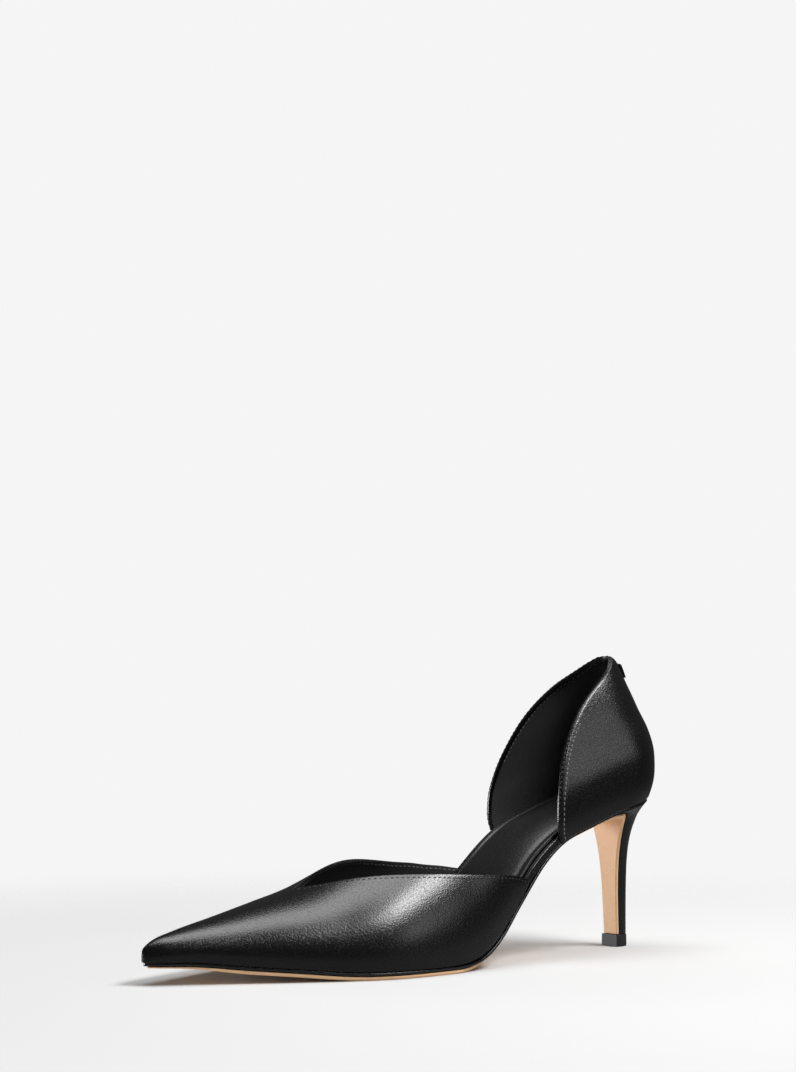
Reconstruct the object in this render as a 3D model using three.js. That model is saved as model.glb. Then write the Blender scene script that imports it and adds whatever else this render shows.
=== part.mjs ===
// A woman's d'Orsay pump for the left foot: a pointed vamp cut to a V at the throat, a separate
// high counter, a bare waist between the two, and a slim covered heel with a tan breast.
// Millimetres. +X points to the toe, +Y to the outer side of the foot, +Z up, floor at Z = 0.
import * as THREE from 'three';
import { mergeVertices } from 'three/addons/utils/BufferGeometryUtils.js';

// Driving dimensions of the last
const shoeLength = 250; // back of the seat to the toe, in plan
const ballWidth = 77.5; // feather line to feather line across the ball
const heelHeight = 68; // floor to the feather line at the very back of the seat
const instepHeight = 64.5; // feather line to the top of the last over the waist
const counterHeight = 62.4; // feather line to the topline at the back
const seatBack = 4.2; // back end of the feather line
const seatRound = 24; // how far the back of the seat is rounded
const toeRound = 9; // how far the tip of the toe is rounded in plan
const noseRound = 10; // how far the tip of the toe is rounded in profile
const noseEdge = 0.5; // share of the toe's height that is left as its front edge
const featherBulge = 3.5; // how far the vamp's side swells past the feather line

// Thicknesses and clearances
const gap = 0.3;
const vampWall = 1.4;
const counterWall = 1.8;
const boardThickness = 3;
const sockThickness = 1.2;
const midsoleThickness = 1.1;
const outsoleThickness = 1.4;
const plateThickness = 1;
const breastThickness = 1.2;

// Edges of the sole parts, measured from the feather line
const midsoleProud = 0.3;
const midsoleTuck = 1; // how far the midsole's edge is hidden under the seat and the tip of the toe
const outsoleEdgeBevel = 0.5;
const waistTuck = 5; // how far the outsole is tucked in under the waist
const toeTuck = 2.5; // how far its edge stops short of the tip of the toe
const toeSkive = 0.6; // share of its thickness that is pared away there
const sockMargin = 2.4;
const sockToeGap = 30; // the sock stops this far short of the toe

// Heel and its small pieces
const tipHeight = 5.2;
const tipFlare = 0.45; // how far the top piece stands out round the end of the heel
const breastFoot = 17.4; // front of the heel where it meets the top piece
const breastLean = 1.9; // how much further forward the breast is under the seat
const breastSpring = 18; // length of the curve from the seat down into the breast
const breastDrop = 9; // how far below the seat that curve ends
const heelSquare = 0.8; // below 1 the heel's section is fuller than an ellipse
const heelRim = 1.3; // how far the heel's rim stays inside the feather line
const plateWidth = 11;
const plateHeight = 6.4;
const plateDrop = 4.4; // from the topline to the top of the plate

const soleStack = midsoleThickness + outsoleThickness + 2 * gap;

// Sections of the last from the back of the seat to the toe. half and swing are shares of the
// ball width: the half width at the feather line, and the centre line's shift to the outer side.
// rise is the feather line's height as a share of its height at the back, above the flat tread.
// crown is the height of the last's top above the feather line, as a share of the instep height.
const lastSections = [
  { at: 0.0, half: 0.303, swing: 0.0, rise: 1.0, crown: 1.0 },
  { at: 0.1, half: 0.31, swing: 0.001, rise: 0.918, crown: 1.0 },
  { at: 0.2, half: 0.307, swing: 0.005, rise: 0.794, crown: 1.0 },
  { at: 0.25, half: 0.3, swing: 0.012, rise: 0.7206, crown: 1.0 },
  { at: 0.3, half: 0.298, swing: 0.023, rise: 0.594, crown: 1.0 },
  { at: 0.36, half: 0.326, swing: 0.032, rise: 0.3613, crown: 0.984 },
  { at: 0.42, half: 0.383, swing: 0.031, rise: 0.1295, crown: 0.941 },
  { at: 0.45, half: 0.412, swing: 0.028, rise: 0.0525, crown: 0.903 },
  { at: 0.48, half: 0.44, swing: 0.024, rise: 0.0122, crown: 0.861 },
  { at: 0.52, half: 0.471, swing: 0.018, rise: 0.0, crown: 0.797 },
  { at: 0.62, half: 0.5, swing: 0.005, rise: 0.0, crown: 0.638 },
  { at: 0.67, half: 0.482, swing: -0.005, rise: 0.0, crown: 0.551 },
  { at: 0.7, half: 0.454, swing: -0.011, rise: 0.003, crown: 0.498 },
  { at: 0.78, half: 0.357, swing: -0.023, rise: 0.0304, crown: 0.383 },
  { at: 0.86, half: 0.238, swing: -0.029, rise: 0.0572, crown: 0.279 },
  { at: 0.94, half: 0.12, swing: -0.031, rise: 0.087, crown: 0.176 },
  { at: 1.0, half: 0.042, swing: -0.032, rise: 0.088, crown: 0.118 },
];

// The vamp's topline. at runs from the ridge (0) down the side to the feather line (1), and the
// other columns are the topline's station on each side, as shares of the shoe's length.
const vampTopline = [
  { at: 0.0, outer: 0.724, inner: 0.724 },
  { at: 0.15, outer: 0.678, inner: 0.665 },
  { at: 0.35, outer: 0.6, inner: 0.564 },
  { at: 0.6, outer: 0.455, inner: 0.447 },
  { at: 0.8, outer: 0.388, inner: 0.386 },
  { at: 1.0, outer: 0.334, inner: 0.328 },
];

// The counter from its feather line (0) to its topline (1). back and front are the stations of
// its back and of its front edges, as shares of the shoe's length. wide is its half width as a
// share of the feather line's.
const counterLevels = [
  { at: 0.0, back: 0.0168, front: 0.265, wide: 1.0 },
  { at: 0.06, back: 0.0108, front: 0.2708, wide: 1.05 },
  { at: 0.15, back: 0.0078, front: 0.2753, wide: 1.085 },
  { at: 0.28, back: 0.0085, front: 0.2747, wide: 1.085 },
  { at: 0.45, back: 0.0178, front: 0.2641, wide: 1.003 },
  { at: 0.6, back: 0.0345, front: 0.2437, wide: 0.883 },
  { at: 0.7, back: 0.0447, front: 0.223, wide: 0.807 },
  { at: 0.8, back: 0.0552, front: 0.1935, wide: 0.713 },
  { at: 0.88, back: 0.0622, front: 0.1537, wide: 0.62 },
  { at: 0.93, back: 0.0662, front: 0.1177, wide: 0.545 },
  { at: 0.97, back: 0.0728, front: 0.0981, wide: 0.515 },
  { at: 1.0, back: 0.0811, front: 0.0865, wide: 0.5 },
];

// The heel from the seat (0) to its top piece (1). half is the half width and back the distance
// from the breast's foot to the back, both as shares of the seat's half width. drop is how far
// the back has come down, and seat how far the outline still follows the seat.
const heelRings = [
  { at: 0.0, half: 1.0, back: 1.0, drop: 0.0, seat: 1.0 },
  { at: 0.06, half: 0.95, back: 0.857, drop: 0.035, seat: 1.0 },
  { at: 0.13, half: 0.832, back: 0.727, drop: 0.075, seat: 0.8 },
  { at: 0.2, half: 0.666, back: 0.689, drop: 0.13, seat: 0.45 },
  { at: 0.28, half: 0.53, back: 0.63, drop: 0.2, seat: 0.2 },
  { at: 0.36, half: 0.437, back: 0.559, drop: 0.27, seat: 0.0 },
  { at: 0.45, half: 0.338, back: 0.525, drop: 0.36, seat: 0.0 },
  { at: 0.56, half: 0.26, back: 0.521, drop: 0.475, seat: 0.0 },
  { at: 0.7, half: 0.218, back: 0.518, drop: 0.635, seat: 0.0 },
  { at: 0.85, half: 0.202, back: 0.518, drop: 0.815, seat: 0.0 },
  { at: 1.0, half: 0.198, back: 0.522, drop: 1.0, seat: 0.0 },
];

// A smooth curve through one column of a table, which never swings past its rows.
function curveThrough(rows, column) {
  const last = rows.length - 1;
  const chord = rows.slice(1).map((row, i) => (row[column] - rows[i][column]) / (row.at - rows[i].at));
  const slope = rows.map((row, i) => {
    if (i === 0) return chord[0];
    if (i === last) return chord[last - 1];
    const before = chord[i - 1];
    const after = chord[i];
    if (before * after <= 0) return 0;
    const stepBefore = row.at - rows[i - 1].at;
    const stepAfter = rows[i + 1].at - row.at;
    const nearBefore = 2 * stepAfter + stepBefore;
    const nearAfter = stepAfter + 2 * stepBefore;
    return (nearBefore + nearAfter) / (nearBefore / before + nearAfter / after);
  });
  return (share) => {
    const s = THREE.MathUtils.clamp(share, rows[0].at, rows[last].at);
    let i = 0;
    while (i < last - 1 && s > rows[i + 1].at) i += 1;
    const step = rows[i + 1].at - rows[i].at;
    const t = (s - rows[i].at) / step;
    const ends = (1 + 2 * t) * (1 - t) ** 2 * rows[i][column] + t * t * (3 - 2 * t) * rows[i + 1][column];
    const bends = t * (1 - t) ** 2 * slope[i] - t * t * (1 - t) * slope[i + 1];
    return ends + step * bends;
  };
}

// A quarter ellipse that takes a width from nothing, at an end, to its full size.
function roundedEnd(distance, radius) {
  const short = THREE.MathUtils.clamp(1 - distance / radius, 0, 1);
  return Math.sqrt(1 - short * short);
}

// The last: its feather line and its sections
const halfShare = curveThrough(lastSections, 'half');
const swingShare = curveThrough(lastSections, 'swing');
const riseShare = curveThrough(lastSections, 'rise');
const crownShare = curveThrough(lastSections, 'crown');

function halfWidth(x, inset = 0) {
  const full = Math.max(halfShare(x / shoeLength) * ballWidth - inset, gap);
  const atToe = roundedEnd(shoeLength - inset - x, toeRound - inset);
  return full * atToe * roundedEnd(x - seatBack - inset, seatRound - inset);
}

function centreLine(x) {
  return swingShare(x / shoeLength) * ballWidth;
}

function featherHeight(x) {
  return soleStack + riseShare(x / shoeLength) * (heelHeight - soleStack);
}

function crownHeight(x, inset) {
  const full = crownShare(x / shoeLength) * instepHeight - inset;
  return full * (noseEdge + (1 - noseEdge) * roundedEnd(shoeLength - inset - x, noseRound));
}

// A point beside the feather line, raised by depth square to the sole's profile.
function beside(x, side, depth, inset) {
  const slope = featherHeight(x + 0.5) - featherHeight(x - 0.5); // over 1 mm
  const square = Math.hypot(1, slope);
  return new THREE.Vector3(
    x - (slope / square) * depth,
    centreLine(x) + side * halfWidth(x, inset),
    featherHeight(x) + depth / square,
  );
}

// Closed meshes from rows of points
function closedMesh(points, faces) {
  let volume = 0;
  for (const [a, b, c] of faces) volume += points[a].dot(points[b].clone().cross(points[c]));
  const outward = volume < 0 ? faces.map(([a, b, c]) => [a, c, b]) : faces;
  const made = new THREE.BufferGeometry();
  made.setAttribute('position', new THREE.Float32BufferAttribute(points.flatMap((p) => p.toArray()), 3));
  made.setIndex(outward.flat());
  return mergeVertices(made, 1e-4);
}

// The two triangles of a four-sided face, split along its shorter diagonal.
function quad(points, a, b, c, d) {
  if (points[a].distanceTo(points[c]) <= points[b].distanceTo(points[d])) {
    return [
      [a, b, c],
      [a, c, d],
    ];
  }
  return [
    [a, b, d],
    [b, c, d],
  ];
}

// Joins rings of points into a solid. In each ring the first half of the points faces the
// second half across the middle, and the end caps are strips between the two.
function loft(rings) {
  const count = rings[0].length;
  const points = rings.flat();
  const faces = [];
  for (let r = 0; r + 1 < rings.length; r += 1) {
    for (let i = 0; i < count; i += 1) {
      const next = (i + 1) % count;
      const here = r * count;
      const there = here + count;
      faces.push(...quad(points, here + i, here + next, there + next, there + i));
    }
  }
  const cap = (start, reversed) => {
    for (let near = 0, far = count - 1; far - near > 1; near += 1, far -= 1) {
      const strip = [[start + near, start + far, start + near + 1]];
      if (far - near > 2) strip.push([start + near + 1, start + far, start + far - 1]);
      for (const [a, b, c] of strip) faces.push(reversed ? [a, c, b] : [a, b, c]);
    }
  };
  cap(0, false);
  cap((rings.length - 1) * count, true);
  return closedMesh(points, faces);
}

// A wall between an outer and an inner grid of points. Where the first row of each grid is
// folded on itself, as at the toe, it needs no edge of its own.
function wallBetween(outer, inner, firstRowFolded = false) {
  const rows = outer.length;
  const columns = outer[0].length;
  const points = [...outer.flat(), ...inner.flat()];
  const outside = (r, c) => r * columns + c;
  const inside = (r, c) => (rows + r) * columns + c;
  const faces = [];
  const face = (a, b, c, d) => faces.push(...quad(points, a, b, c, d));
  const lastColumn = columns - 1;
  for (let r = 0; r + 1 < rows; r += 1) {
    for (let c = 0; c < lastColumn; c += 1) {
      face(outside(r, c), outside(r, c + 1), outside(r + 1, c + 1), outside(r + 1, c));
      face(inside(r, c), inside(r + 1, c), inside(r + 1, c + 1), inside(r, c + 1));
    }
    face(outside(r, 0), outside(r + 1, 0), inside(r + 1, 0), inside(r, 0));
    face(outside(r, lastColumn), inside(r, lastColumn), inside(r + 1, lastColumn), outside(r + 1, lastColumn));
  }
  const lastRow = rows - 1;
  for (let c = 0; c < lastColumn; c += 1) {
    face(outside(lastRow, c), outside(lastRow, c + 1), inside(lastRow, c + 1), inside(lastRow, c));
    if (!firstRowFolded) {
      face(outside(0, c), inside(0, c), inside(0, c + 1), outside(0, c + 1));
    }
  }
  return closedMesh(points, faces);
}

// Vamp: lengthwise lines run from the toe to the topline, and cross lines over the ridge
const outerTopline = curveThrough(vampTopline, 'outer');
const innerTopline = curveThrough(vampTopline, 'inner');
const vampSide = { height: 0.457, shoulder: 0.66 }; // handles of the section's curve, as shares

function vampPoint(x, across, inset) {
  const side = across < 0 ? -1 : 1;
  const half = halfWidth(x, inset);
  const crown = crownHeight(x, inset);
  const swell = featherBulge * Math.min(1, half / toeRound);
  const section = new THREE.CubicBezierCurve(
    new THREE.Vector2(half, 0),
    new THREE.Vector2(half + swell, vampSide.height * crown),
    new THREE.Vector2(half * vampSide.shoulder, crown),
    new THREE.Vector2(0, crown),
  );
  const p = section.getPoint(1 - Math.abs(across));
  return new THREE.Vector3(x, centreLine(x) + side * p.x, featherHeight(x) + p.y);
}

function vampGrid(inset) {
  const rows = 22;
  const columns = 36;
  const toe = shoeLength - inset;
  return Array.from({ length: rows + 1 }, (_, r) =>
    Array.from({ length: columns + 1 }, (_, c) => {
      const across = (2 * c) / columns - 1;
      const topline = (across < 0 ? innerTopline : outerTopline)(Math.abs(across)) * shoeLength;
      return vampPoint(toe - (toe - topline) * (r / rows) ** 1.7, across, inset);
    }),
  );
}

// Counter: turn runs round each level from the outer front edge (1) by the back (0) to the
// inner front edge (-1)
const counterBack = curveThrough(counterLevels, 'back');
const counterFront = curveThrough(counterLevels, 'front');
const counterWide = curveThrough(counterLevels, 'wide');

function counterPoint(turn, level, inset) {
  const outerBack = counterBack(level) * shoeLength;
  const outerFront = counterFront(level) * shoeLength;
  const facingBack = Math.max(0, 1 - (outerFront - outerBack) / seatRound);
  const back = outerBack + inset;
  const front = outerFront + inset * facingBack;
  const x = back + (front - back) * (1 - Math.cos((turn * Math.PI) / 2));
  const full = halfShare(x / shoeLength) * ballWidth * counterWide(level) - inset;
  const half = full * roundedEnd(x - back, seatRound - inset);
  const y = centreLine(x) + Math.sign(turn) * half;
  return new THREE.Vector3(x, y, featherHeight(x) + level * counterHeight);
}

// Rows of the counter's wall; reach gives how far round each row runs.
function counterGrid(inset, levels, columns, reach) {
  return levels.map((level) =>
    Array.from({ length: columns + 1 }, (_, c) =>
      counterPoint(((2 * c) / columns - 1) * reach(level), level, inset),
    ),
  );
}

// Levels that meet the counter's front edge at even steps, so that its long slope is smooth.
function levelsAlongEdge(count) {
  const samples = Array.from({ length: 81 }, (_, i) => counterPoint(1, i / 80, 0));
  const edge = new THREE.CatmullRomCurve3(samples);
  return edge.getSpacedPoints(count).map((p) => (p.z - featherHeight(p.x)) / counterHeight);
}

const counterWallLevels = levelsAlongEdge(22);

function counterWallGrid(inset) {
  return counterGrid(inset, counterWallLevels, 40, () => 1);
}

// A patch on the back of the counter, of one width all the way up.
function backPatch(width, fromTop, height, lift, thickness) {
  const steps = 6;
  const low = 1 - (fromTop + height) / counterHeight;
  const levels = Array.from({ length: steps + 1 }, (_, i) => low + (height / counterHeight) * (i / steps));
  const small = 0.02;
  const reach = (level) => {
    const perTurn = counterPoint(small, level, 0).distanceTo(counterPoint(0, level, 0)) / small;
    return Math.min(width / 2 / perTurn, 1);
  };
  const grid = (inset) => counterGrid(inset, levels, 6, reach);
  return wallBetween(grid(-lift - thickness), grid(-lift));
}

// Sole layers: strips square to the sole's profile, between two depths. Every layer has its
// sections at the same stations, apart from those at its own round ends.
const soleEnd = gap / 2; // the layers stop this far from the points where their width is nothing
const endZone = 22; // length at either end in which a layer has its own stations
const stationStep = shoeLength / 56;

function stationsFor(from, to) {
  const shared = Array.from({ length: 57 }, (_, i) => i * stationStep);
  const middle = shared.filter((x) => x > from + endZone && x < to - endZone);
  const turns = Array.from({ length: 10 }, (_, i) => 1 - Math.cos((Math.PI * i) / 20));
  const first = turns.map((share) => from + (middle[0] - from) * share);
  const last = turns.map((share) => to - (to - middle[middle.length - 1]) * share).reverse();
  return [...first, ...middle, ...last];
}

// The midsole's edge shows from the waist forwards, and is hidden under the seat and the toe's tip.
function midsoleInset(x) {
  const pastSeat = THREE.MathUtils.smoothstep(x, 0.25 * shoeLength, 0.32 * shoeLength);
  const atTip = THREE.MathUtils.smoothstep(x, 0.93 * shoeLength, shoeLength);
  return THREE.MathUtils.lerp(midsoleTuck, -midsoleProud, pastSeat * (1 - atTip));
}

function midsoleSolid() {
  const ends = [seatBack + midsoleTuck + soleEnd, shoeLength - midsoleTuck - soleEnd];
  const rings = stationsFor(...ends).map((x) => {
    const inset = midsoleInset(x);
    return [
      beside(x, 1, -gap, inset),
      beside(x, 1, -gap - midsoleThickness, inset),
      beside(x, -1, -gap - midsoleThickness, inset),
      beside(x, -1, -gap, inset),
    ];
  });
  return loft(rings);
}

// Inside the upper the board stays clear of its walls; over the bare waist it is full width.
const waistBack = 0.278 * shoeLength;
const waistFront = (vampTopline[5].inner - 0.003) * shoeLength;
const widening = 0.4; // half the length over which its width changes at either end of the waist

function boardInset(x) {
  if (x < waistBack) return counterWall + gap;
  return x < waistFront ? 0 : vampWall + gap;
}

function insoleLayer(bottom, thickness, insetAt, stations) {
  const rings = stations.map((x) => {
    const inset = insetAt(x);
    return [
      beside(x, 1, bottom + thickness, inset),
      beside(x, 1, bottom, inset),
      beside(x, -1, bottom, inset),
      beside(x, -1, bottom + thickness, inset),
    ];
  });
  return loft(rings);
}

function boardSolid() {
  const stations = stationsFor(seatBack + counterWall + 2 * gap, shoeLength - vampWall - 2 * gap);
  const clear = (x) => Math.min(Math.abs(x - waistBack), Math.abs(x - waistFront)) > 2 * widening;
  const changes = [waistBack, waistFront].flatMap((x) => [x - widening, x + widening]);
  const all = [...stations.filter(clear), ...changes].sort((a, b) => a - b);
  return insoleLayer(0, boardThickness, boardInset, all);
}

function sockSolid() {
  const stations = stationsFor(seatBack + sockMargin + gap, shoeLength - sockToeGap);
  return insoleLayer(boardThickness + gap, sockThickness, () => sockMargin, stations);
}

// Heel: its breast is a curve that springs from under the seat and runs down to the top piece
const seatUnder = -gap - midsoleThickness - gap; // depth of the heel's seat below the feather line
const seatHalf = halfWidth(breastFoot + breastSpring, heelRim);
const heelFoot = tipHeight + gap;

function seatHeight(x) {
  return featherHeight(x) + seatUnder;
}

function breastPoint(share, out = 0) {
  const top = breastFoot + breastLean;
  const start = new THREE.Vector2(top + breastSpring, seatHeight(top + breastSpring) - gap);
  const corner = new THREE.Vector2(top, seatHeight(top) - gap);
  const spring = new THREE.QuadraticBezierCurve(start, corner, new THREE.Vector2(top, corner.y - breastDrop));
  const foot = new THREE.Vector2(breastFoot, heelFoot);
  const turnShare = 0.36; // share of the way down where the curve has become the straight breast
  const t = Math.min(1, share / turnShare);
  const p = spring.getPoint(t);
  const tangent = spring.getTangent(t);
  if (share > turnShare) {
    p.lerpVectors(spring.v2, foot, (share - turnShare) / (1 - turnShare));
    tangent.subVectors(foot, spring.v2).normalize();
  }
  return p.add(new THREE.Vector2(-tangent.y, tangent.x).multiplyScalar(out));
}

const ringHalf = curveThrough(heelRings, 'half');
const ringBack = curveThrough(heelRings, 'back');
const ringDrop = curveThrough(heelRings, 'drop');
const ringSeat = curveThrough(heelRings, 'seat');

// One closed ring of the heel: the outer side from the breast to the back, then the inner side.
function heelRing(share, front, spread = 0) {
  const turns = 12;
  const backStart = seatBack + heelRim;
  const reach = breastFoot + breastSpring - backStart;
  const back = breastFoot - ringBack(share) * (breastFoot - backStart) - spread;
  const backHeight = THREE.MathUtils.lerp(seatHeight(backStart), heelFoot, ringDrop(share));
  const seat = ringSeat(share);
  const half = ringHalf(share) * seatHalf + spread;
  const onSide = (side, i) => {
    const turn = (Math.PI / 2) * (1 - i / turns);
    const forward = 1 - Math.cos(turn);
    const x = back + (front.x - back) * forward;
    const seatX = backStart + reach * forward;
    const like = halfWidth(seatX, heelRim) / seatHalf;
    const width = half * THREE.MathUtils.lerp(Math.sin(turn) ** heelSquare, Math.min(1, like), seat);
    const chord = THREE.MathUtils.lerp(backHeight, front.y, forward);
    const seatChord = THREE.MathUtils.lerp(seatHeight(back), seatHeight(front.x), forward);
    const z = chord + (seatHeight(x) - seatChord) * seat;
    return new THREE.Vector3(x, centreLine(x) * seat + side * width, z);
  };
  const outerSide = Array.from({ length: turns + 1 }, (_, i) => onSide(1, i));
  const innerSide = Array.from({ length: turns }, (_, i) => onSide(-1, turns - 1 - i));
  return [...outerSide, ...innerSide];
}

const heelTop = 0.06; // the heel starts a little way down the breast's curve, where it has a lip

function heelSolid() {
  const shares = [0.06, 0.1, 0.14, 0.18, 0.22, 0.27, 0.32, 0.36, 0.42, 0.5, 0.6, 0.72, 0.86, 1];
  const lip = breastPoint(heelTop);
  const top = heelRing(0, new THREE.Vector2(lip.x, seatHeight(lip.x)));
  return loft([top, ...shares.map((share) => heelRing(share, breastPoint(share)))]);
}

function heelTip() {
  const front = (z) => new THREE.Vector2(breastFoot + breastThickness + gap + tipFlare, z);
  const level = (z, spread) => heelRing(1, front(z), spread).map((p) => new THREE.Vector3(p.x, p.y, z));
  return loft([level(0, tipFlare), level(tipHeight - 0.6, tipFlare), level(tipHeight, tipFlare / 2)]);
}

// Outsole: tread, tucked waist and the breast's cover in one strip
function outsoleInset(x) {
  const pastWaist = THREE.MathUtils.smoothstep(x, 0.4 * shoeLength, 0.52 * shoeLength);
  const atTip = THREE.MathUtils.smoothstep(x, 0.9 * shoeLength, shoeLength);
  return waistTuck * (1 - pastWaist) + toeTuck * atTip;
}

function outsoleDepth(x) {
  return outsoleThickness * (1 - toeSkive * THREE.MathUtils.smoothstep(x, 0.84 * shoeLength, shoeLength));
}

function outsoleSolid() {
  const top = seatUnder;
  const springStart = breastPoint(0).x + 2;
  const stations = stationsFor(seatBack + soleEnd, shoeLength - toeTuck - soleEnd);
  const along = [springStart, ...stations.filter((x) => x > springStart + 1)].reverse().map((x) => {
    const inset = outsoleInset(x);
    const edge = (side, depth, more) => beside(x, side, depth, inset + more);
    const bottom = top - outsoleDepth(x);
    const middle = (top + bottom) / 2;
    return [
      edge(1, top, 0),
      edge(1, middle, 0),
      edge(1, bottom, outsoleEdgeBevel),
      edge(-1, bottom, outsoleEdgeBevel),
      edge(-1, middle, 0),
      edge(-1, top, 0),
    ];
  });
  const waistHalf = halfWidth(springStart, outsoleInset(springStart));
  const down = [0.05, 0.1, 0.15, 0.2, 0.25, 0.3, 0.36, 0.42, 0.5, 0.6, 0.72, 0.86, 1].map((share) => {
    const thickness = THREE.MathUtils.lerp(outsoleThickness, breastThickness, share);
    const inner = breastPoint(share, gap);
    const middle = breastPoint(share, gap + thickness * 0.5);
    const outer = breastPoint(share, gap + thickness);
    const half = Math.min(waistHalf, ringHalf(share) * seatHalf);
    const centre = centreLine(inner.x) * ringSeat(share);
    const at = (p, y) => new THREE.Vector3(p.x, centre + y, p.y);
    const bevelled = half - Math.min(outsoleEdgeBevel, half / 6);
    return [
      at(inner, half),
      at(middle, half),
      at(outer, bevelled),
      at(outer, -bevelled),
      at(middle, -half),
      at(inner, -half),
    ];
  });
  return loft([...along, ...down]);
}

// Finishes
const blackLeather = new THREE.MeshStandardMaterial({ color: '#17171a', roughness: 0.36, metalness: 0 });
const blackLining = new THREE.MeshStandardMaterial({ color: '#141416', roughness: 0.5, metalness: 0 });
const blackEdge = new THREE.MeshStandardMaterial({ color: '#101012', roughness: 0.3, metalness: 0 });
const tanSole = new THREE.MeshStandardMaterial({ color: '#dcae80', roughness: 0.45, metalness: 0 });
const blackRubber = new THREE.MeshStandardMaterial({ color: '#1c1c1f', roughness: 0.6, metalness: 0 });
const darkMetal = new THREE.MeshStandardMaterial({ color: '#1b1b1e', roughness: 0.3, metalness: 0.9 });

// Assembly
const shoe = new THREE.Group();

function addPiece(name, geometry, material) {
  const mesh = new THREE.Mesh(geometry, material);
  mesh.name = name;
  shoe.add(mesh);
}

addPiece('vamp', wallBetween(vampGrid(0), vampGrid(vampWall), true), blackLeather);
addPiece('counter', wallBetween(counterWallGrid(0), counterWallGrid(counterWall)), blackLeather);
addPiece('back_plate', backPatch(plateWidth, plateDrop, plateHeight, gap, plateThickness), darkMetal);
addPiece('midsole', midsoleSolid(), blackEdge);
addPiece('outsole', outsoleSolid(), tanSole);
addPiece('insole_board', boardSolid(), blackLining);
addPiece('sock', sockSolid(), blackLining);
addPiece('heel', heelSolid(), blackLeather);
addPiece('heel_tip', heelTip(), blackRubber);

// The origin is under the middle of the shoe's box, on the floor.
const box = new THREE.Box3().setFromObject(shoe);
const middle = box.getCenter(new THREE.Vector3());
const pump = new THREE.Group();
shoe.position.set(-middle.x, -middle.y, -box.min.z);
pump.add(shoe);

export default pump;
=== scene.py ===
# %% [markdown]
# # A black d'Orsay pump
# A d'Orsay pump is cut away at the waist, so it has a pointed vamp in front and a separate high
# counter at the back. Its solids are already modelled at their real size. This script gives each
# of them its fine surface, its sewing and its finish, and then builds the studio round the shoe.

# %% The frame
import math

import bmesh
import bpy
from mathutils import Matrix, Vector
from mathutils.bvhtree import BVHTree
from mathutils.kdtree import KDTree


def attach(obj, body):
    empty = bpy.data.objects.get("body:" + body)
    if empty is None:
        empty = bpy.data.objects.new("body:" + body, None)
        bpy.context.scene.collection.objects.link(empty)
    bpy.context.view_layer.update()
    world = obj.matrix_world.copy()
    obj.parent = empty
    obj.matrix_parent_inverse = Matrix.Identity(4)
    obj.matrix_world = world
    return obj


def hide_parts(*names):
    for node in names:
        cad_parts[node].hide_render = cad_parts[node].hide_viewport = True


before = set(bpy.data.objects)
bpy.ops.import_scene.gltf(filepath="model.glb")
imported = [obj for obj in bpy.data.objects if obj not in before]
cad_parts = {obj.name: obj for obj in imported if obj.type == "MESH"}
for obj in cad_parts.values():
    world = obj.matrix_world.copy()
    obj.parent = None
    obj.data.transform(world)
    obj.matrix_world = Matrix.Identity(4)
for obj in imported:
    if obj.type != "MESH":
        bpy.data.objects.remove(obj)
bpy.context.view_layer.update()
MM = 0.001
print("solids:", sorted(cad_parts))

# %% [markdown]
# ## Camera
# The camera stands a little in front of the shoe on its outer side, a hand's breadth above the
# floor. A long lens keeps the toe from looking too large. The lens is shifted, so the shoe sits
# low in the picture while its heel stays upright.

# %% Camera
LENS_MM = 78.4
LENS_SHIFT = 0.12
CAMERA_MM = (560.4, 770.9, 116.2)
CAMERA_TURN = 144.31
CAMERA_TILT = -0.345

camera = bpy.data.objects.new("camera", bpy.data.cameras.new("camera"))
bpy.context.scene.collection.objects.link(camera)
bpy.context.scene.camera = camera
camera.data.lens = LENS_MM
camera.data.shift_y = LENS_SHIFT
camera.data.clip_end = 50
camera.location = Vector(CAMERA_MM) * MM
azimuth, elevation = math.radians(CAMERA_TURN), math.radians(CAMERA_TILT)
away = Vector((
    math.sin(azimuth) * math.cos(elevation),
    -math.cos(azimuth) * math.cos(elevation),
    math.sin(elevation),
))
camera.rotation_mode = "QUATERNION"
camera.rotation_quaternion = (-away).to_track_quat("-Z", "Y")
print("camera distance:", round(camera.location.length, 3), "m")

# %% [markdown]
# ## Helpers for finishes
# Colours are written as the hex values that a paint program shows, and one function turns them
# into the linear values that the renderer adds up. Another adds one node with its settings.


# %% Colour and nodes
def linear(hex_colour):
    """A hex colour as linear red, green, blue and full opacity."""
    values = [int(hex_colour[i : i + 2], 16) / 255 for i in (1, 3, 5)]
    return [v / 12.92 if v <= 0.04045 else ((v + 0.055) / 1.055) ** 2.4 for v in values] + [1.0]


def add_node(tree, kind, inputs=None, **settings):
    """Adds one node. An input is given a value, or the output of another node."""
    node = tree.nodes.new(kind)
    for name, value in settings.items():
        setattr(node, name, value)
    for name, value in (inputs or {}).items():
        if isinstance(value, bpy.types.NodeSocket):
            tree.links.new(value, node.inputs[name])
        else:
            node.inputs[name].default_value = value
    return node


def start_material(name):
    """A material with its shader and the position on the piece, in metres."""
    material = bpy.data.materials.new(name)
    material.use_nodes = True
    tree = material.node_tree
    shader = tree.nodes["Principled BSDF"]
    place = add_node(tree, "ShaderNodeTexCoord").outputs["Object"]
    return material, tree, shader, place


def per_metre(size_mm):
    """The scale at which a pattern's cells are of this size."""
    return 1000 / size_mm


# %% [markdown]
# ## Leathers
# Calf leather is dyed through and then polished, so it is nearly black with a satin gloss. Its
# grain is a net of fine creases, about three quarters of a millimetre apart on the upper, with
# smaller pores between them. A cell pattern makes the net and a noise the pores, and both go into
# a bump of a few hundredths of a millimetre. The polish reaches the tops of the grain and misses
# its creases. Both together break a highlight up into fine, even sparkles, as on the real hide.


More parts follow.
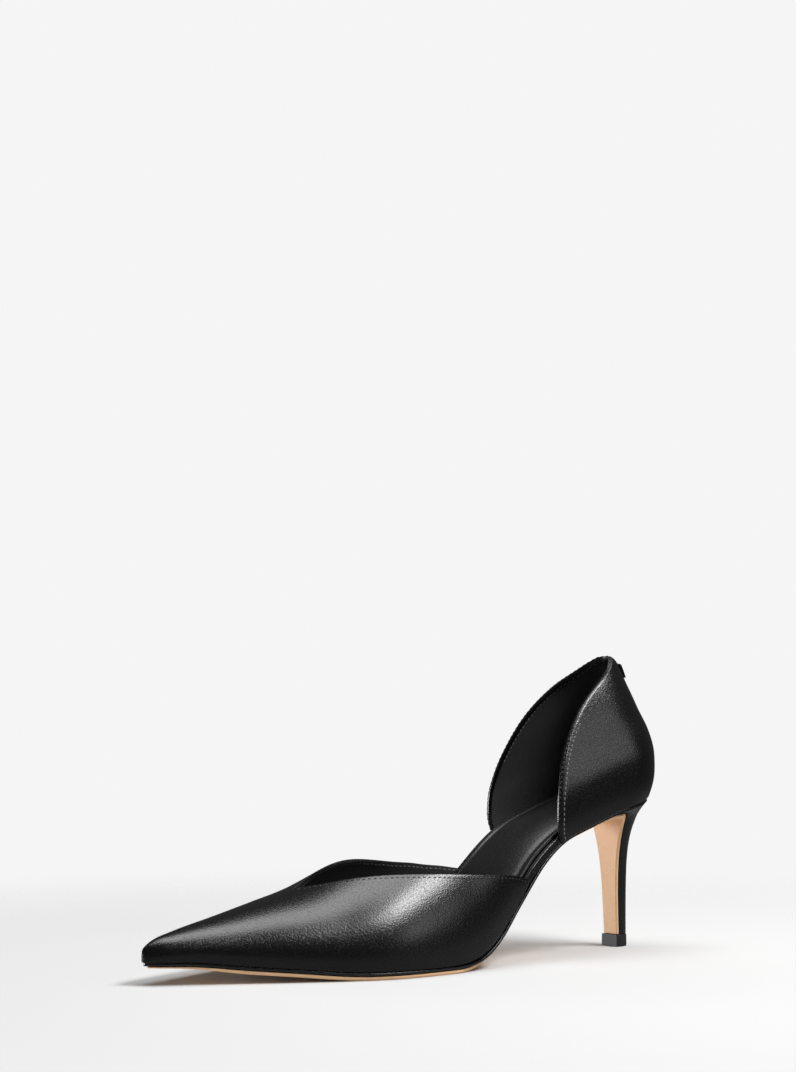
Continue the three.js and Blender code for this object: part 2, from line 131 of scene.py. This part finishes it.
# %% Leather
TOP_POLISH = 0.06
CREASE_DULLNESS = 0.12


def leather(name, pebble, crease, roughness, grain_mm, depth_mm, coat, ior=1.5):
    """Polished leather: fine pebbles with a net of creases between them."""
    material, tree, shader, place = start_material(name)
    net = add_node(
        tree, "ShaderNodeTexVoronoi",
        {"Vector": place, "Scale": per_metre(grain_mm), "Smoothness": 0.35},
        feature="SMOOTH_F1",
    )
    pores = add_node(
        tree, "ShaderNodeTexNoise",
        {"Vector": place, "Scale": per_metre(grain_mm * 0.5), "Detail": 2.0},
    )
    height = add_node(
        tree, "ShaderNodeMath", {0: net.outputs["Distance"], 1: pores.outputs["Fac"]},
        operation="MULTIPLY",
    )
    bump = add_node(
        tree, "ShaderNodeBump",
        {"Height": height.outputs["Value"], "Distance": depth_mm * MM, "Strength": 1.0},
        invert=True,
    )
    tone = add_node(tree, "ShaderNodeValToRGB", {"Fac": net.outputs["Distance"]})
    tone.color_ramp.elements[0].color = linear(pebble)
    tone.color_ramp.elements[1].color = linear(crease)
    gloss = add_node(
        tree, "ShaderNodeMapRange",
        {
            "Value": net.outputs["Distance"],
            "To Min": roughness - TOP_POLISH,
            "To Max": roughness + CREASE_DULLNESS,
        },
    )
    tree.links.new(tone.outputs["Color"], shader.inputs["Base Color"])
    tree.links.new(gloss.outputs["Result"], shader.inputs["Roughness"])
    tree.links.new(bump.outputs["Normal"], shader.inputs["Normal"])
    shader.inputs["IOR"].default_value = ior
    shader.inputs["Coat Weight"].default_value = coat
    shader.inputs["Coat Roughness"].default_value = 0.25
    return material


# Aniline-dyed calf, polished: deep black, satin, fine creases
upper_calf = leather(
    "polished_calf", "#09090a", "#070708", roughness=0.235, grain_mm=0.75, depth_mm=0.115, coat=0.2
)
# Lining calf: the same hide without the polish, so a little greyer and duller
lining_calf = leather(
    "lining_calf", "#38383a", "#303032", roughness=0.46, grain_mm=0.75, depth_mm=0.12, coat=0.0
)
# Sock leather: pressed over the foam and left less polished, so its highlight is broad and soft
sock_calf = leather(
    "sock_calf", "#161617", "#131314", roughness=0.34, grain_mm=0.75, depth_mm=0.13, coat=0.1
)
# Heel cover: the calf stretched tight, which pulls its grain out
heel_calf = leather(
    "heel_calf", "#0a0a0c", "#08080a", roughness=0.30, grain_mm=0.6, depth_mm=0.015, coat=0.2
)
# Board cover: thin calf pulled tight over the board's edge and waxed, so the edge shines
board_calf = leather(
    "board_cover_calf", "#0f0f10", "#0c0c0d",
    roughness=0.18, grain_mm=0.5, depth_mm=0.02, coat=1.0, ior=1.7,
)
# Folded edge: the calf is pared, stretched over the fold and rubbed down till it is nearly smooth
fold_calf = leather(
    "folded_edge_calf", "#0a0a0b", "#080809",
    roughness=0.18, grain_mm=0.6, depth_mm=0.015, coat=1.0, ior=1.8,
)
leathers = (upper_calf, lining_calf, sock_calf, heel_calf, board_calf, fold_calf)
print("leathers:", [m.name for m in leathers])

# %% [markdown]
# The sole is vegetable-tanned leather with a thin clear finish. Its fibres run lengthwise, so the
# noise that tints it is stretched along the shoe.


# %% Sole leather
def sole_leather(name):
    """Tan sole leather with faint lengthwise fibres."""
    material, tree, shader, place = start_material(name)
    along = add_node(tree, "ShaderNodeMapping", {"Vector": place, "Scale": (0.25, 1.0, 1.0)})
    fibres = add_node(
        tree, "ShaderNodeTexNoise",
        {"Vector": along.outputs["Vector"], "Scale": per_metre(0.9), "Detail": 4.0},
    )
    clouds = add_node(
        tree, "ShaderNodeTexNoise", {"Vector": place, "Scale": per_metre(30), "Detail": 2.0}
    )
    both = add_node(
        tree, "ShaderNodeMath", {0: fibres.outputs["Fac"], 1: clouds.outputs["Fac"]},
        operation="MULTIPLY",
    )
    tint = add_node(tree, "ShaderNodeValToRGB", {"Fac": both.outputs["Value"]})
    tint.color_ramp.elements[0].position = 0.1
    tint.color_ramp.elements[0].color = linear("#e2b486")
    tint.color_ramp.elements[1].position = 0.5
    tint.color_ramp.elements[1].color = linear("#edc59b")
    bump = add_node(
        tree, "ShaderNodeBump",
        {"Height": fibres.outputs["Fac"], "Distance": 0.03 * MM, "Strength": 0.6},
    )
    tree.links.new(tint.outputs["Color"], shader.inputs["Base Color"])
    tree.links.new(bump.outputs["Normal"], shader.inputs["Normal"])
    shader.inputs["Roughness"].default_value = 0.42
    return material


tan_leather = sole_leather("tan_sole_leather")
print("sole:", tan_leather.name)

# %% [markdown]
# The rand's edge is inked and burnished, which makes it one of the glossiest blacks on the shoe.
# The top piece is hard rubber, sanded dull. These finishes and the thread have one even colour, so
# one function makes them all, from a colour, a gloss and the size and depth of their tooth.


# %% Even finishes
GLOSS_DRIFT = 0.04


def fine_solid(name, colour, roughness, grit_mm, depth_mm, coat=0.0):
    """A plain finish with a fine tooth, such as ink, rubber, thread or enamel."""
    material, tree, shader, place = start_material(name)
    grit = add_node(
        tree, "ShaderNodeTexNoise", {"Vector": place, "Scale": per_metre(grit_mm), "Detail": 3.0}
    )
    gloss = add_node(
        tree, "ShaderNodeMapRange",
        {
            "Value": grit.outputs["Fac"],
            "To Min": roughness - GLOSS_DRIFT,
            "To Max": roughness + GLOSS_DRIFT,
        },
    )
    bump = add_node(
        tree, "ShaderNodeBump",
        {"Height": grit.outputs["Fac"], "Distance": depth_mm * MM, "Strength": 1.0},
    )
    tree.links.new(gloss.outputs["Result"], shader.inputs["Roughness"])
    tree.links.new(bump.outputs["Normal"], shader.inputs["Normal"])
    shader.inputs["Base Color"].default_value = linear(colour)
    shader.inputs["Coat Weight"].default_value = coat
    shader.inputs["Coat Roughness"].default_value = 0.12
    return material


# Edge ink, burnished hot: wet-looking black
inked_edge = fine_solid(
    "burnished_edge_ink", "#0a0a0b", roughness=0.2, grit_mm=1.5, depth_mm=0.01, coat=1.0
)
# Hard rubber, sanded: dull charcoal
sanded_rubber = fine_solid("sanded_rubber", "#1f1f22", roughness=0.5, grit_mm=0.35, depth_mm=0.03)
# Bonded polyester thread, waxed: black with a small sheen
waxed_thread = fine_solid("waxed_thread", "#070708", roughness=0.45, grit_mm=0.2, depth_mm=0.02)
# Painted highlight: the lining's thread is pale grey to stand in for the glints on its stitches
lining_thread_painted_glint = fine_solid("pale_thread_painted_glint", "#6a6a6e", roughness=0.4, grit_mm=0.2, depth_mm=0.02)
# Zinc plate, black enamel: even satin
enamel = fine_solid("black_enamel", "#0b0b0d", roughness=0.28, grit_mm=0.8, depth_mm=0.01)
finishes = (inked_edge, sanded_rubber, waxed_thread, lining_thread_painted_glint, enamel)
print("finishes:", [m.name for m in finishes])

# %% [markdown]
# ## From solid to surface
# Each solid comes as loose triangles. A copy of it is welded, and pairs of triangles are joined
# back into four-sided faces, which subdivide smoothly. The sharp edges of a hard piece get a small
# bevel, because no worked edge is as sharp as a knife. A subdivision modifier then smooths every
# piece between its edges.


# %% Copies of the solids
WELD_MM = 0.002


def welded_copy(node):
    """A bmesh of a solid with its triangles welded and joined into four-sided faces."""
    bm = bmesh.new()
    bm.from_mesh(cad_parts[node].data)
    bmesh.ops.remove_doubles(bm, verts=bm.verts, dist=WELD_MM * MM)
    bmesh.ops.recalc_face_normals(bm, faces=bm.faces)
    bmesh.ops.join_triangles(
        bm, faces=bm.faces,
        angle_face_threshold=math.radians(20), angle_shape_threshold=math.radians(70),
    )
    return bm


def sharp_edges(bm, degrees):
    """The edges whose two faces turn by more than this."""
    limit = math.radians(degrees)
    return [e for e in bm.edges if len(e.link_faces) == 2 and e.calc_face_angle() > limit]


def round_edges(bm, radius_mm, degrees=45, segments=2):
    """Rounds every sharp edge."""
    edges = sharp_edges(bm, degrees)
    bmesh.ops.bevel(
        bm, geom=edges, offset=radius_mm * MM, offset_type="OFFSET", segments=segments,
        profile=0.5, affect="EDGES", clamp_overlap=True, material=-1,
    )
    return len(edges)


def piece_from(bm, name, materials, nodes=(), levels=2):
    """Makes the object, smooths it, and lets it ride on the shoe."""
    mesh = bpy.data.meshes.new(name)
    bm.to_mesh(mesh)
    bm.free()
    for material in materials:
        mesh.materials.append(material)
    mesh.shade_smooth()
    piece = bpy.data.objects.new(name, mesh)
    bpy.context.scene.collection.objects.link(piece)
    if levels:
        smooth = piece.modifiers.new("smooth", "SUBSURF")
        smooth.levels = smooth.render_levels = levels
    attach(piece, "root")
    if nodes:
        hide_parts(*nodes)
    print(name, "faces", len(mesh.polygons), "quads", sum(len(p.vertices) == 4 for p in mesh.polygons))
    return piece


# %% [markdown]
# ## Vamp and counter
# Each wall is an outside and a lining sewn together and folded over at the edge. Only the outside
# of the solid is kept, as one open sheet. The search starts at the face that looks most directly
# away from the middle of the shoe, and goes on from face to face until it meets a sharp edge.


# %% The outside of a wall
SHEET_CORNER = 50
SLIVER_MM = 0.1
FOREPART_LEVEL_MM = 8
ARCH_START_MM = 30
ARCH_RISE = 0.4
HEEL_CUP_MM = -98


def vamp_middle(p):
    """A point inside the forepart and waist, level with p along the shoe."""
    arch = ARCH_RISE * (ARCH_START_MM * MM - p.x)
    return Vector((p.x, 0, max(FOREPART_LEVEL_MM * MM, arch)))


def counter_middle(p):
    """A point inside the heel cup, at the height of p."""
    return Vector((max(p.x, HEEL_CUP_MM * MM), 0, p.z))


def spread_from(start, degrees):
    """The faces reached from one face without crossing a sharp edge."""
    limit = math.radians(degrees)
    found, waiting = {start}, [start]
    while waiting:
        for edge in waiting.pop().edges:
            if len(edge.link_faces) != 2 or edge.calc_face_angle() > limit:
                continue
            for face in edge.link_faces:
                if face not in found:
                    found.add(face)
                    waiting.append(face)
    return found


def outer_sheet(node, middle):
    """The outside of a wall as an open sheet."""
    bm = welded_copy(node)

    def outwards(face):
        centre = face.calc_center_median()
        return (centre - middle(centre)).dot(face.normal)

    outside = spread_from(max(bm.faces, key=outwards), SHEET_CORNER)
    hidden = [f for f in bm.faces if f not in outside]
    bmesh.ops.delete(bm, geom=hidden, context="FACES")
    bmesh.ops.dissolve_degenerate(bm, edges=bm.edges, dist=SLIVER_MM * MM)
    bm.verts.index_update()
    shortest = min(e.calc_length() for e in bm.edges) / MM
    print(node, "outside faces", len(bm.faces), "shortest edge mm", round(shortest, 2))
    return bm


# %% [markdown]
# The sewing follows the open edge of a sheet. So that edge is walked from point to point and split
# at its corners, and of the runs that this gives, the high ones are the topline.


# %% Open edges
def open_runs(faces, corner_degrees):
    """The open edges of a sheet, as runs of points split at its corners.

    Each run has the sheet on its left, as seen from outside.
    """
    after, before, place = {}, {}, {}
    inside = set(faces)
    for face in faces:
        for corner in face.loops:
            if sum(f in inside for f in corner.edge.link_faces) == 1:
                a, b = corner.vert, corner.link_loop_next.vert
                after[a.index], before[b.index] = b.index, a.index
                place[a.index], place[b.index] = a.co.copy(), b.co.copy()
    limit = math.radians(corner_degrees)
    corners = []
    for here in sorted(after):
        arriving = place[here] - place[before[here]]
        leaving = place[after[here]] - place[here]
        if arriving.angle(leaving) > limit:
            corners.append(here)
    runs = []
    for start in corners or sorted(after)[:1]:
        run, here = [place[start]], after[start]
        while here not in corners and here != start:
            run.append(place[here])
            here = after[here]
        runs.append(run + [place[here]])
    return runs


def mean_height(points):
    """The mean height of some points."""
    return sum(p.z for p in points) / len(points)


def top_runs(runs):
    """The runs that lie above the middle height of them all."""
    middle = mean_height([p for run in runs for p in run])
    return [run for run in runs if mean_height(run) > middle]


# %% [markdown]
# The sheet is subdivided until it is smooth. Then it gets its thickness back, and the lining's
# leather goes on the inner side. The last bevel rounds the fold along the open edge, where the
# leather is stretched and shines.


# %% Upper
FOLD_CORNER = 72


def upper_piece(node, middle, wall_mm, fold_mm):
    """A wall of the upper, with the runs of points along its top edge and its bare sheet."""
    bm = outer_sheet(node, middle)
    runs = open_runs(list(bm.faces), SHEET_CORNER)
    print(node, "open runs", [(len(r), round(max(p.z for p in r) / MM, 1)) for r in runs])
    sheet = BVHTree.FromBMesh(bm)
    skins = [upper_calf, lining_calf, fold_calf]
    piece = piece_from(bm, node + "_leather", skins, [node])
    wall = piece.modifiers.new("wall", "SOLIDIFY")
    wall.thickness = wall_mm * MM
    wall.offset = -1
    wall.material_offset = 1
    fold = piece.modifiers.new("fold", "BEVEL")
    fold.width = fold_mm * MM
    fold.segments = 3
    fold.material = 2
    fold.limit_method = "ANGLE"
    fold.angle_limit = math.radians(FOLD_CORNER)
    return piece, top_runs(runs), sheet


vamp, vamp_edges, vamp_sheet = upper_piece("vamp", vamp_middle, wall_mm=1.4, fold_mm=0.65)
counter, counter_edges, counter_sheet = upper_piece(
    "counter", counter_middle, wall_mm=1.8, fold_mm=0.6
)

# %% [markdown]
# ## Sole, board, heel and trim
# The covered board has its full width over the bare waist and steps in where the upper hides it.
# Those steps would show as notches beside the upper, so their narrow corners are moved outwards,
# and the next corner under the upper follows most of the way.


# %% Waist of the board
WAIST_MM = -50.6
WAIST_REACH_MM = 9
STEP_LENGTH_MM = 1.3
STEP_WIDTHS_MM = (1.2, 3)
STATION_MM = 1
FOLLOWING_SHARE = 0.85


def widen_waist(bm):
    """Takes the board's full width on past its steps, to where the upper hides its edge."""
    least, most = STEP_WIDTHS_MM
    moves = {}
    for edge in bm.edges:
        span = edge.verts[1].co - edge.verts[0].co
        from_waist = edge.verts[0].co.x / MM - WAIST_MM
        if abs(from_waist) > WAIST_REACH_MM or abs(span.x) > STEP_LENGTH_MM * MM:
            continue
        if not least * MM < abs(span.y) < most * MM:
            continue
        narrow = min(edge.verts, key=lambda v: abs(v.co.y))
        outwards = math.copysign(abs(span.y), narrow.co.y)
        moves[narrow] = outwards
        for link in narrow.link_edges:
            next_vert = link.other_vert(narrow)
            step = next_vert.co - narrow.co
            leads_away = step.x * from_waist > 0 and abs(step.x) > STATION_MM * MM
            if leads_away and abs(step.y) < STATION_MM * MM:
                moves[next_vert] = outwards * FOLLOWING_SHARE
    for vert, outwards in moves.items():
        vert.co.y += outwards
    print("board corners widened:", len(moves))


# %% [markdown]
# The hard pieces have crisp edges, so their bevels are small. The board's edge is rounded most and
# the rand's next, which gives the thin pale lines under the upper.


# %% Hard pieces
def hard_piece(node, name, material, edge_mm, degrees=35, reshape=None):
    """A hard piece with its sharp edges rounded, reshaped first where that is asked for."""
    bm = welded_copy(node)
    if reshape:
        reshape(bm)
    rounded = round_edges(bm, edge_mm, degrees)
    print(node, "sharp edges rounded:", rounded)
    return piece_from(bm, name, [material], [node])


rand = hard_piece("midsole", "rand", inked_edge, edge_mm=0.35)
sole = hard_piece("outsole", "tan_sole", tan_leather, edge_mm=0.25)
board = hard_piece(
    "insole_board", "covered_board", board_calf, edge_mm=0.5, reshape=widen_waist
)
heel = hard_piece("heel", "heel_cover", heel_calf, edge_mm=0.3, degrees=50)
top_piece = hard_piece(
    "heel_tip", "top_piece", sanded_rubber, edge_mm=0.3, degrees=40
)
plate = hard_piece("back_plate", "plain_plate", enamel, edge_mm=0.25)

# %% [markdown]
# ## Sock
# The sock is a thin pad of leather over foam, sewn round its edge. It rises from the sewn channel
# like a cushion: steep beside the channel and level in the middle. How high a point lies then
# follows from its distance to the sock's outline.


# %% The cushion's rise
CHANNEL_DEPTH_MM = 0.6
CHANNEL_STEPS_MM = ((2.6, 0), (0.5, -CHANNEL_DEPTH_MM), (0.7, 0), (0.7, 0.7))
CHANNEL_MM = sum(inwards for inwards, _ in CHANNEL_STEPS_MM)
CUSHION_MM = 2.0
SHOULDER_MM = 12


def even_steps(path, step):
    """Points at even steps along a path, each with the direction of the path there."""
    made, carried = [], 0.0
    for a, b in zip(path, path[1:]):
        length = (b - a).length
        while carried < length:
            made.append((a.lerp(b, carried / length), (b - a).normalized()))
            carried += step
        carried -= length
    return made


def cushion_height(from_edge):
    """How far the pad has risen at this distance from the sock's edge."""
    share = min(1, max(0, (from_edge / MM - CHANNEL_MM) / SHOULDER_MM))
    return CUSHION_MM * MM * (1 - (1 - share) ** 2)


print("channel width mm", round(CHANNEL_MM, 2), "full height mm", cushion_height(1) / MM)

# %% [markdown]
# The sock's top is inset a few times to make the channel, with its floor pushed down. The long
# faces that cross the sock are cut into short ones, and the new points are raised. The part deep
# in the toe can't be seen, so it stays flat.

# %% Sock
IN_SIGHT_MM = 60
CROSSING_MM = 12
CROSSING_CUTS = 11
FACING_UP = 0.3
ANY_TURN = 170
OUTLINE_STEP_MM = 1

sock_bm = welded_copy("sock")
top_faces = [f for f in sock_bm.faces if f.normal.z > FACING_UP]
sock_bm.verts.index_update()
sock_outline = max(open_runs(top_faces, ANY_TURN), key=len)
sock_sheet = BVHTree.FromBMesh(sock_bm)
in_sight = [f for f in top_faces if f.calc_center_median().x < IN_SIGHT_MM * MM]
for inwards_mm, rise_mm in CHANNEL_STEPS_MM:
    bmesh.ops.inset_region(sock_bm, faces=in_sight, thickness=inwards_mm * MM, depth=rise_mm * MM)
cushion_faces = set(in_sight)
across = [
    e for e in sock_bm.edges
    if any(f in cushion_faces for f in e.link_faces)
    and abs(e.verts[0].co.y - e.verts[1].co.y) > CROSSING_MM * MM
]
cut = bmesh.ops.subdivide_edges(sock_bm, edges=across, cuts=CROSSING_CUTS, use_grid_fill=True)
outline_points = [point for point, _ in even_steps(sock_outline, OUTLINE_STEP_MM * MM)]
outline_tree = KDTree(len(outline_points))
for index, point in enumerate(outline_points):
    outline_tree.insert(point, index)
outline_tree.balance()
new_points = {item for item in cut["geom_inner"] if isinstance(item, bmesh.types.BMVert)}
for vert in new_points:
    vert.co.z += cushion_height(outline_tree.find(vert.co)[2])
print("points raised:", len(new_points))
round_edges(sock_bm, radius_mm=0.35, degrees=60)
sock = piece_from(sock_bm, "padded_sock", [sock_calf], ["sock"])

# %% [markdown]
# ## Stitching
# The upper is sewn round its topline about 1.4 mm in, with a stitch every 2.2 mm. The run of points
# along the edge is walked in even steps, each step moves inwards on the leather, and a small bead
# of thread is laid there, sunk a little as the thread pulls in. A bead has few faces, because
# there are hundreds of them. The lining's rows are looked for from just beyond the wall's back.


# %% Sewing
STITCH_MM = 2.2
HALF_BEAD_MM = (STITCH_MM * 0.4, 0.42, 0.26)
SUNK_MM = 0.1
VAMP_ROW_MM = 1.4
COUNTER_ROW_MM = 1.5
SOCK_ROW_MM = 3.45
ABOVE_MM = -0.5
BEHIND_VAMP_MM = 1.9
BEHIND_COUNTER_MM = 2.4


def sew(name, thread, paths, sheet, carrier, inset_mm, depth_mm):
    """Lays beads of thread beside each path, on the surface that lies this deep under the sheet."""
    surface = BVHTree.FromObject(carrier, bpy.context.evaluated_depsgraph_get())
    bm = bmesh.new()
    for point, along in [step for path in paths for step in even_steps(path, STITCH_MM * MM)]:
        outwards = sheet.find_nearest(point)[1]
        left = outwards.cross(along).normalized()
        target = point + left * inset_mm * MM - outwards * depth_mm * MM
        spot, normal, _, _ = surface.find_nearest(target)
        side = normal.cross(along).normalized()
        run = side.cross(normal).normalized()
        turn = Matrix((run, side, normal)).transposed().to_4x4()
        size = Matrix.Diagonal([half * MM for half in HALF_BEAD_MM] + [1.0])
        matrix = Matrix.Translation(spot - normal * SUNK_MM * MM) @ turn @ size
        bmesh.ops.create_uvsphere(bm, u_segments=6, v_segments=4, radius=1.0, matrix=matrix)
    return piece_from(bm, name, [thread], levels=0)


sew("vamp_stitches", waxed_thread, vamp_edges, vamp_sheet, vamp, VAMP_ROW_MM, ABOVE_MM)
# The lining's rows use the pale thread, whose colour is a painted highlight
sew(
    "vamp_lining_stitches", lining_thread_painted_glint, vamp_edges, vamp_sheet, vamp,
    VAMP_ROW_MM, BEHIND_VAMP_MM,
)
sew(
    "counter_stitches", waxed_thread, counter_edges, counter_sheet, counter,
    COUNTER_ROW_MM, ABOVE_MM,
)
# The pale thread here is a painted highlight as well
sew(
    "counter_lining_stitches", lining_thread_painted_glint, counter_edges, counter_sheet, counter,
    COUNTER_ROW_MM, BEHIND_COUNTER_MM,
)
sew(
    "sock_stitches", waxed_thread, [sock_outline], sock_sheet, sock,
    SOCK_ROW_MM, CHANNEL_DEPTH_MM,
)

# %% [markdown]
# ## Studio
# The floor is a pale disc that fades into a background of the same tone, so no horizon shows. The
# shoe's gloss mirrors it darker, as if black flags stood beside it, which keeps its sides deep.

# %% Floor
FLOOR_RADIUS = 3.0
FADE_FROM, FADE_TO = 0.15, 0.5
PAPER_TONE, MIRRORED_TONE = 0.65, 0.16

floor_bm = bmesh.new()
bmesh.ops.create_circle(floor_bm, cap_ends=True, segments=96, radius=FLOOR_RADIUS)
floor_mesh = bpy.data.meshes.new("floor")
floor_bm.to_mesh(floor_mesh)
floor_bm.free()
floor = bpy.data.objects.new("floor", floor_mesh)
bpy.context.scene.collection.objects.link(floor)

# Matt seamless paper: pale to the eye and darker in a mirror
paper, paper_tree, paper_shader, paper_place = start_material("pale_paper")
paper_shader.inputs["Roughness"].default_value = 0.9
paper_shader.inputs["Specular IOR Level"].default_value = 0.1
light_path = add_node(paper_tree, "ShaderNodeLightPath")
paper_tone = add_node(
    paper_tree, "ShaderNodeMapRange",
    {
        "Value": light_path.outputs["Is Glossy Ray"],
        "To Min": PAPER_TONE,
        "To Max": MIRRORED_TONE,
    },
)
paper_tree.links.new(paper_tone.outputs["Result"], paper_shader.inputs["Base Color"])
reach = add_node(paper_tree, "ShaderNodeVectorMath", {0: paper_place}, operation="LENGTH")
fade = add_node(
    paper_tree, "ShaderNodeMapRange",
    {
        "Value": reach.outputs["Value"],
        "From Min": FADE_FROM,
        "From Max": FADE_TO,
        "To Min": 1.0,
        "To Max": 0.0,
    },
    interpolation_type="SMOOTHSTEP",
)
paper_tree.links.new(fade.outputs["Result"], paper_shader.inputs["Alpha"])
floor_mesh.materials.append(paper)
print("floor radius m", FLOOR_RADIUS, "fades from", FADE_FROM, "to", FADE_TO)

# %% [markdown]
# The background is bright only where the camera sees it. On the shoe it would be a pale light from
# every side, so there it is dimmed and only softens the shadows.

# %% Background
DIMMED = 0.06

world = bpy.data.worlds.new("studio")
bpy.context.scene.world = world
world.use_nodes = True
sky = world.node_tree
background = sky.nodes["Background"]
background.inputs["Color"].default_value = linear("#f5f5f5")
seen = add_node(sky, "ShaderNodeLightPath")
strength = add_node(
    sky, "ShaderNodeMapRange",
    {"Value": seen.outputs["Is Camera Ray"], "To Min": DIMMED, "To Max": 1.0},
)
sky.links.new(strength.outputs["Result"], background.inputs["Strength"])
print("background strength on the shoe:", DIMMED)

# %% [markdown]
# A soft key light hangs over the outer side, and a larger, paler one almost straight above. A
# small one beside the heel draws the counter's roundness. A low one on the far side lights the
# tan breast of the heel.


# %% Lights
def soft_light(name, place, target, width, height, watts):
    """A rectangular soft light that faces a target, in metres and watts."""
    lamp = bpy.data.lights.new(name, "AREA")
    lamp.shape = "RECTANGLE"
    lamp.size, lamp.size_y, lamp.energy = width, height, watts
    holder = bpy.data.objects.new(name, lamp)
    holder.location = Vector(place)
    holder.rotation_mode = "QUATERNION"
    holder.rotation_quaternion = (Vector(target) - holder.location).to_track_quat("-Z", "Y")
    bpy.context.scene.collection.objects.link(holder)
    return holder


lights = [
    soft_light(
        "key_softbox", (-0.46, 0.68, 1.2), (0, 0, 0.04), width=0.78, height=0.42, watts=20
    ),
    soft_light(
        "top_softbox", (-0.1, -0.1, 1.5), (0, 0, 0), width=1.1, height=0.8, watts=14
    ),
    soft_light(
        "heel_softbox", (-0.75, 1.2, 0.6), (-0.08, 0, 0.08), width=0.5, height=0.4, watts=1.5
    ),
    soft_light(
        "breast_fill", (0.85, -0.95, 0.12), (-0.1, 0, 0.04), width=0.5, height=0.25, watts=9
    ),
]
bpy.context.scene.view_settings.view_transform = "Standard"
print("lights:", [light.name for light in lights])
